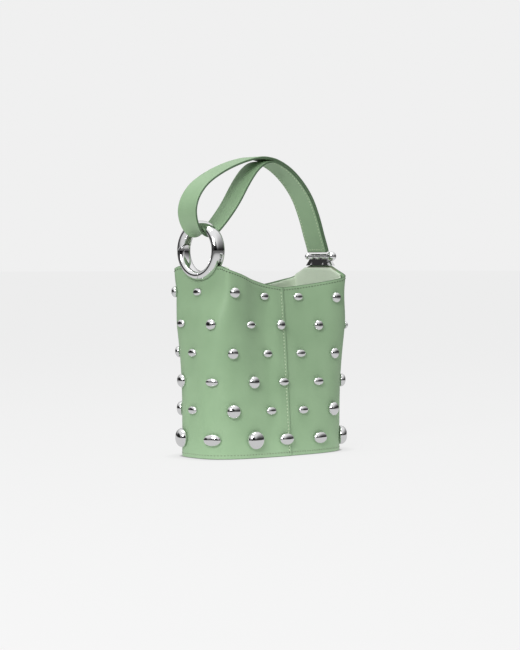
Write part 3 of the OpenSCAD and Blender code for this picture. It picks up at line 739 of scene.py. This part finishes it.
def plate(name, depth, bottom, thickness, rounding, crown):
    """A flat plate with the plan's outline drawn in by depth: rings of points shrunk towards
    the middle, with a rounded edge, and the top raised by crown.(1 - r^2)."""
    phi = np.linspace(0, 360, 241)[:-1]
    rim, outward = wall(phi, np.full(phi.shape, 1.0), depth)
    turn = np.linspace(-pi / 2, pi / 2, 7)
    lower = np.linspace(0.03, 1, 30)
    shrink = np.concatenate([lower, np.ones(7), lower[::-1]])
    inset = np.concatenate([np.full(30, rounding), rounding * (1 - np.cos(turn)),
                            np.full(30, rounding)])
    rise_up = np.concatenate([np.zeros(30), (thickness / 2) * (1 + np.sin(turn)), np.full(30, thickness)])
    rise_up[37:] += crown * (1 - lower[::-1] ** 2)
    points = rim[None, :, :2] * shrink[:, None, None] - outward[None, :, :2] * inset[:, None, None]
    z = bottom + rise_up[:, None] + 0 * phi[None, :]
    points = np.concatenate([points, z[..., None]], -1).reshape(-1, 3)
    faces = [f[::-1] for f in grid_faces(67, 240, closed_columns=True)]
    caps = [list(range(239, -1, -1)), list(range(66 * 240, 67 * 240))]
    return new_piece(name, points, faces + caps)


base = plate("base_leather", LEATHER + 0.15, 0.0, 2.0, 0.6, 0.0)
layer = base.data.attributes.new("edge", "FLOAT", "POINT")
layer.data.foreach_set("value", np.full(len(base.data.vertices), 5.0, np.float32))
dress(base, mint_leather)
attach(base, "bag")
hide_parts("base_panel")

floor_suede = plate("floor_suede", LINING_DEPTH + 2.1, 3.5, 1.0, 0.4, 0.5)
dress(floor_suede, suede)
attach(floor_suede, "bag")
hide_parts("base_lining")

# ---------------------------------------------------------------- ring and its gate
# A thick cast ring straddles the ring end: its lower half has a slot that takes the leather.
# A gate on the far side closes the ring. All of it is polished and chrome plated.

RING_RADIUS = 24.4
RING_HALF_THICK = 4.7
RING_HALF_DEEP = 7.5
SLOT_FLOOR = 25.2
SLOT_HALF = 1.6
SLOT_TOP = -6.0
PIN_X = -4.2
PIN_Y = -21.9
KNUCKLE = 7.6
KNUCKLE_GAP = 0.4
SCARF_GAP = 0.5
SCARF = radians(46)
JOINT_EASE = 0.35
# The gate's own slot is deeper, longer and wider, so that it swings clear of the leather
GATE_SLOT_DROP = 1.3
KNUCKLE_SLOT_DROP = 2.7
GATE_SLOT_LONGER = 5.0
GATE_SLOT_WIDER = 0.5

hardware_chrome = chrome_material("hardware_chrome", 0.88, 0.045)


def ring_frame(x, y, z):
    """From the ring's own view, x right, y up and z forward, to the bag's frame."""
    flat_x, flat_y = -z, -x
    return np.stack([-HARDWARE_X + flat_x * cos(RING_TURN) - flat_y * sin(RING_TURN),
                     flat_x * sin(RING_TURN) + flat_y * cos(RING_TURN), RING_HEIGHT + y], -1)


def knuckle_angle(radius, grow):
    """Angle, in degrees, at which a circle of this radius crosses the knuckle's right side."""
    gap = hypot(PIN_X, PIN_Y)
    reach = KNUCKLE + grow
    cosine = (radius ** 2 + gap ** 2 - reach ** 2) / (2 * radius * gap)
    return np.degrees(atan2(PIN_Y, PIN_X)) + np.degrees(np.arccos(np.clip(cosine, -1, 1)))


def scarf_angle(radius, grow):
    """Angle at which a circle of this radius crosses the slanted joint on the far side."""
    u = np.array([cos(SCARF), sin(SCARF)])
    start = np.array([-RING_RADIUS, 0.0]) + grow * np.array([-u[1], u[0]])
    b = start @ u
    t = -b - np.sqrt(np.maximum(0, b ** 2 - start @ start + radius ** 2))
    x = start[0] + t * u[0]
    y = start[1] + t * u[1]
    return np.degrees(np.arctan2(y, x)) % 360


def ring_part(name, begin, end, node, count, slot_floor, slot_top, slot_half):
    """Section r = R + h.cos(a), z = d.sin(a), carried from angle begin(r) to end(r), drawn in
    over the last JOINT_EASE and closed by smaller sections on the same joint surface. It is
    pressed in to slot_floor(x) below slot_top, where the leather enters."""
    a = np.radians(np.concatenate([np.linspace(-24, 24, 33), np.linspace(30, 330, 51)]))[None, :]
    ease = JOINT_EASE / (radians(110) * RING_RADIUS)
    t = crowded(1.0, count, ease)
    drawn = 1 - 0.02 * (1 - np.clip(np.minimum(t, 1 - t) / ease, 0, 1)) ** 2
    cap = np.array([0.02, 0.3, 0.6, 0.85])
    t = np.concatenate([0 * cap, t, 0 * cap + 1])[:, None]
    drawn = np.concatenate([cap, drawn, cap[::-1]])[:, None]
    r = RING_RADIUS + RING_HALF_THICK * drawn * np.cos(a)
    z = RING_HALF_DEEP * drawn * np.sign(np.sin(a)) * np.abs(np.sin(a)) ** 0.94

    def turned(r):
        """The angle of each section, on the joint surfaces' own slant at that radius."""
        return np.radians(begin(r) + (end(r) - begin(r)) * t)

    turn = turned(r)
    low = ramp(slot_top + 3, slot_top - 3, r * np.sin(turn))
    in_slot = 1 - ramp(slot_half - 0.15, slot_half + 0.15, np.abs(z))
    floor_here = slot_floor(r * np.cos(turn))
    r = np.minimum(r, r + (floor_here - r) * low * in_slot)
    turn = turned(r)
    points = ring_frame(r * np.cos(turn), r * np.sin(turn), z)
    rows, columns = r.shape
    faces = grid_faces(rows, columns, closed_columns=True)
    flat = np.concatenate([points.reshape(-1, 3), points[[0, -1]].mean(1)])
    k = np.arange(columns)
    k2 = (k + 1) % columns
    first_cap = np.stack([k2, k, np.full(columns, rows * columns)], -1)
    last = (rows - 1) * columns
    last_cap = np.stack([last + k, last + k2, np.full(columns, rows * columns + 1)], -1)
    piece = new_piece(name, flat, faces + first_cap.tolist() + last_cap.tolist())
    piece.data.set_sharp_from_angle(angle=radians(40))
    dress(piece, hardware_chrome)
    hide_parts(node)
    return piece


ring = ring_part("ring_chrome", lambda r: knuckle_angle(r, KNUCKLE_GAP),
                 lambda r: scarf_angle(r, SCARF_GAP), "ring_body", 150,
                 lambda x: SLOT_FLOOR + 0 * x, SLOT_TOP, SLOT_HALF)
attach(ring, "bag")
gate = ring_part("gate_chrome", lambda r: scarf_angle(r, 0.0),
                 lambda r: knuckle_angle(r, 0.0) % 360, "ring_gate", 60,
                 lambda x: (SLOT_FLOOR - GATE_SLOT_DROP
                            - KNUCKLE_SLOT_DROP * ramp(PIN_X - 2.5, PIN_X + 0.5, x)),
                 SLOT_TOP + GATE_SLOT_LONGER, SLOT_HALF + GATE_SLOT_WIDER)
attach(gate, "gate")

# ---------------------------------------------------------------- clamp, bar and balls
# Two cast jaws grip the peak of the back panel. Open lugs on top of the inner jaw cradle the
# slotted bar, which ends in a large ball on the near side and a small one on the far side.


def softened(name, node, width):
    """The node's own shape with its edges eased."""
    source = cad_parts[node]
    mesh = source.data.copy()
    mesh.name = name
    piece = bpy.data.objects.new(name, mesh)
    bpy.context.scene.collection.objects.link(piece)
    weld = piece.modifiers.new("weld", "WELD")
    weld.merge_threshold = 0.00001
    flatten = piece.modifiers.new("flatten", "DECIMATE")
    flatten.decimate_type = "DISSOLVE"
    flatten.angle_limit = radians(1)
    ease = piece.modifiers.new("ease", "BEVEL")
    ease.width = width * MM
    ease.segments = 3
    ease.limit_method = "ANGLE"
    ease.angle_limit = radians(35)
    ease.harden_normals = True
    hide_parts(node)
    return piece


for name, node, width in (("outer_jaw_chrome", "clamp_outer_jaw", 0.35),
                          ("inner_jaw_chrome", "clamp_inner_jaw", 0.15)):
    jaw = softened(name, node, width)
    dress(jaw, hardware_chrome)
    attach(jaw, "bag")

BAR_X = 77.0
BAR_HEIGHT = 196.8
BAR_RADIUS = 2.45
BALL_SIDES = 64
NEAR_BALL = 4.8
FAR_BALL = 3.3
BALL_OUT = 18.0


def spun(name, places, radii, node):
    """A profile of radii at places along Y, spun about the bar's axis and closed at its ends."""
    a = np.linspace(0, 2 * pi, BALL_SIDES, endpoint=False)[:, None]
    points = np.stack([BAR_X + radii * np.cos(a), places + 0 * a, BAR_HEIGHT + radii * np.sin(a)], -1)
    count = len(places)
    ends = [list(range(0, BALL_SIDES * count, count)),
            list(range(count - 1, BALL_SIDES * count, count))[::-1]]
    piece = new_piece(name, points.reshape(-1, 3), grid_faces(BALL_SIDES, count, closed_rows=True) + ends)
    piece.data.set_sharp_from_angle(angle=radians(40))
    dress(piece, hardware_chrome)
    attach(piece, "handle")
    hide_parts(node)
    return piece


def ball_profile(centre, radius, towards_middle):
    """A ball with a short flat where it meets the bar."""
    angle = np.linspace(radians(1), pi - np.arcsin(BAR_RADIUS * 1.05 / radius), 34)
    places = centre - towards_middle * radius * np.cos(angle)
    radii = radius * np.sin(angle)
    return places, radii


places, radii = ball_profile(-BALL_OUT, NEAR_BALL, 1)
spun("near_ball_chrome", places, radii, "near_ball")
places, radii = ball_profile(BALL_OUT, FAR_BALL, -1)
spun("far_ball_chrome", places[::-1], radii[::-1], "far_ball")

# ---------------------------------------------------------------- strap
# One long strap of 2.3 mm leather, 29 mm wide: from the bar over the top, down in front of
# the ring, under the ring's upper side, and back to the bar along its own inner face.

STRAP_THICK = 2.3
STRAP_HALF_WIDTH = 14.5
LEAN = radians(25)
LAYER_STEP = STRAP_THICK + 0.1
OUTER_RUN = np.array([[74.6, 206.4], [69.9, 219], [63.9, 236], [54.2, 256], [40.2, 272.8],
                      [23.7, 285.5], [5.5, 293.1]])
SWEEP_RUN = np.array([[-8.5, 294.5], [-24, 292], [-41.5, 286.8], [-61, 278.5], [-79, 267.5],
                      [-90, 255], [-94.3, 243.5], [-93.8, 234.5], [-90.6, 226.8], [-85, 220.6],
                      [-77.5, 218.2], [-70, 219.6], [-63.2, 224.4], [-55.5, 231.5], [-46.5, 241.5],
                      [-38.8, 251.5], [-31.2, 263.2], [-23.2, 274.3], [-15, 283.2], [-5.5, 289.2]])
start = (np.array([BAR_X, BAR_HEIGHT]) + 4.5 * np.array([-sin(LEAN), cos(LEAN)])
         + LAYER_STEP / 2 * np.array([cos(LEAN), sin(LEAN)]))


def spline_through(points, steps):
    """Catmull-Rom curve through the points, with so many steps between each two."""
    p = np.concatenate([points[:1], points, points[-1:]])
    t = np.linspace(0, 1, steps, endpoint=False)[None, :, None]
    a, b, c, d = p[:-3, None], p[1:-2, None], p[2:-1, None], p[3:, None]
    curve = 0.5 * (2 * b + (c - a) * t + (2 * a - 5 * b + 4 * c - d) * t ** 2
                   + (3 * b - a - 3 * c + d) * t ** 3)
    return curve.reshape(-1, 2)


def side_of(curve):
    """Unit directions square to a curve, to its left."""
    d = np.gradient(curve, axis=0)
    return unit(np.stack([-d[:, 1], d[:, 0]], -1))


def evened(curve, count):
    """The same curve with points an even distance apart."""
    gone = np.concatenate([[0], np.cumsum(np.linalg.norm(np.diff(curve, axis=0), axis=1))])
    even = np.linspace(0, gone[-1], count)
    return np.stack([np.interp(even, gone, curve[:, k]) for k in (0, 1)], -1), gone[-1]


def eased(curve, passes):
    """Takes the small kinks out of a curve and keeps its ends."""
    for _ in range(passes):
        curve = np.concatenate([curve[:1], (curve[:-2] + 2 * curve[1:-1] + curve[2:]) / 4, curve[-1:]])
    return curve


up_run = spline_through(np.concatenate([start[None], OUTER_RUN, SWEEP_RUN[:2]]), 12)
doubled = up_run[:12 * len(OUTER_RUN) + 1]
inner = (doubled + LAYER_STEP * side_of(doubled))[::-1]
sweep = spline_through(np.concatenate([doubled[-1:], SWEEP_RUN, inner[:1]]), 12)
strap_line, strap_length = evened(np.concatenate([doubled[:-1], sweep, inner]), 520)
strap_line = eased(strap_line, 12)
strap_side = side_of(strap_line)


def strap_piece():
    """A rounded flat section carried along the strap's line. Where it passes under the ring
    it narrows, rises by l and curls down by c.(y/w)^2 towards its edges; both fade along it
    by exp(-(distance/15)^2)."""
    across = crowded(2 * STRAP_HALF_WIDTH, 30, STRAP_THICK / 2) - STRAP_HALF_WIDTH
    along = np.linspace(0, strap_length, len(strap_line))
    under_ring = np.argmin(np.abs(strap_line[:, 1] - 218.2) + np.abs(strap_line[:, 0] + 77.5))
    near_ring = np.exp(-((along - along[under_ring]) / 15) ** 2)
    curl = 4.6 * near_ring[:, None] * (across[None, :] / STRAP_HALF_WIDTH) ** 2
    narrow = 1 - 0.16 * near_ring[:, None]
    lift = 1.7 * near_ring[:, None]
    x = strap_line[:, 0][:, None] - strap_side[:, 0][:, None] * (curl - lift)
    z = strap_line[:, 1][:, None] - strap_side[:, 1][:, None] * (curl - lift)
    y = across[None, :] * narrow + 0 * x
    middle = np.stack([x, y, z], -1)
    side = np.stack([strap_side[:, 0], 0 * strap_side[:, 0], strap_side[:, 1]], -1)
    side = side[:, None, :] + 0 * middle
    from_edge = STRAP_HALF_WIDTH - np.abs(across)[None, :] + 0 * x
    from_end = np.minimum(along, strap_length - along)[:, None] + 0 * x
    edge = np.minimum(from_edge, from_end)
    return sheet_piece("strap_leather", middle, side, STRAP_THICK, edge, 0 * edge)


strap_leather = leather_material("strap_leather")
STRAP_STITCH = 2.7
ply_length = float(np.linalg.norm(np.diff(doubled, axis=0), axis=1).sum())


def strap_run(y, first, last, face):
    """A path down the strap at y, between two distances from the end, on one face."""
    along = np.linspace(0, strap_length, len(strap_line))
    at = np.linspace(first, last, 300)
    line = np.stack([np.interp(at, along, strap_line[:, k]) for k in (0, 1)], -1)
    side = np.stack([np.interp(at, along, strap_side[:, k]) for k in (0, 1)], -1) * face
    line = line + side * (STRAP_THICK / 2 + 0.02)
    return (np.stack([line[:, 0], 0 * at + y, line[:, 1]], -1),
            np.stack([side[:, 0], 0 * at, side[:, 1]], -1))


def strap_cross_run(at, face):
    """A row of stitches straight across the strap."""
    path, outward = strap_run(0.0, at, at + 0.01, face)
    y = np.linspace(-STRAP_HALF_WIDTH + 4, STRAP_HALF_WIDTH - 4, 300)
    return np.stack([path[:, 0], y, path[:, 2]], -1), outward


strap_runs = []
inner_edge = STRAP_HALF_WIDTH - STRAP_STITCH
for y in (-inner_edge, inner_edge):
    strap_runs.append(strap_run(y, 3.0, ply_length - 2, -1))
    strap_runs.append(strap_run(y, strap_length - ply_length + 2, strap_length - 3.0, -1))
strap_runs.append(strap_cross_run(3.4, -1))
strap_runs.append(strap_cross_run(strap_length - 3.4, -1))
sew("strap_stitches", strap_runs, "handle")

strap = strap_piece()
dress(strap, strap_leather)
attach(strap, "handle")
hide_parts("strap")

# ---------------------------------------------------------------- plain hardware and boards
# The bar, the gate's pin and spring, screws, washers, board, tapes and pads keep the frame's
# shape. The pins that hold the strap in the bar have eased ends, to turn inside the clamp.

dress(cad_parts["bar_rod"], hardware_chrome)
plain_steel = chrome_material("plain_steel", 0.55, 0.3)
for node in ("gate_pin", "gate_spring", "ring_screws", "clamp_screws",
             *[f"stud_washers_{row}" for row in range(1, 7)]):
    dress(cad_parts[node], plain_steel)

pins = softened("bar_pins_steel", "bar_pins", 0.45)
dress(pins, plain_steel)
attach(pins, "handle")

board, tree = new_material("bag_board")
place = make_node(tree, "ShaderNodeTexCoord", None, None, 3)
fibre = make_node(tree, "ShaderNodeTexNoise", None, {"Vector": place, "Scale": 700.0, "Detail": 5.0})
tone = make_node(tree, "ShaderNodeMix", {"data_type": "RGBA"},
                 {0: fibre, 6: (0.30, 0.27, 0.22, 1), 7: (0.48, 0.44, 0.37, 1)}, 2)
finish_material(tree, make_node(tree, "ShaderNodeBsdfPrincipled", None, {
    "Base Color": tone, "Roughness": 0.85 + 0.1 * fibre}))
for node in ("base_board", "near_seam_tape", "far_seam_tape", "ring_pad", "clamp_pad"):
    dress(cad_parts[node], board)
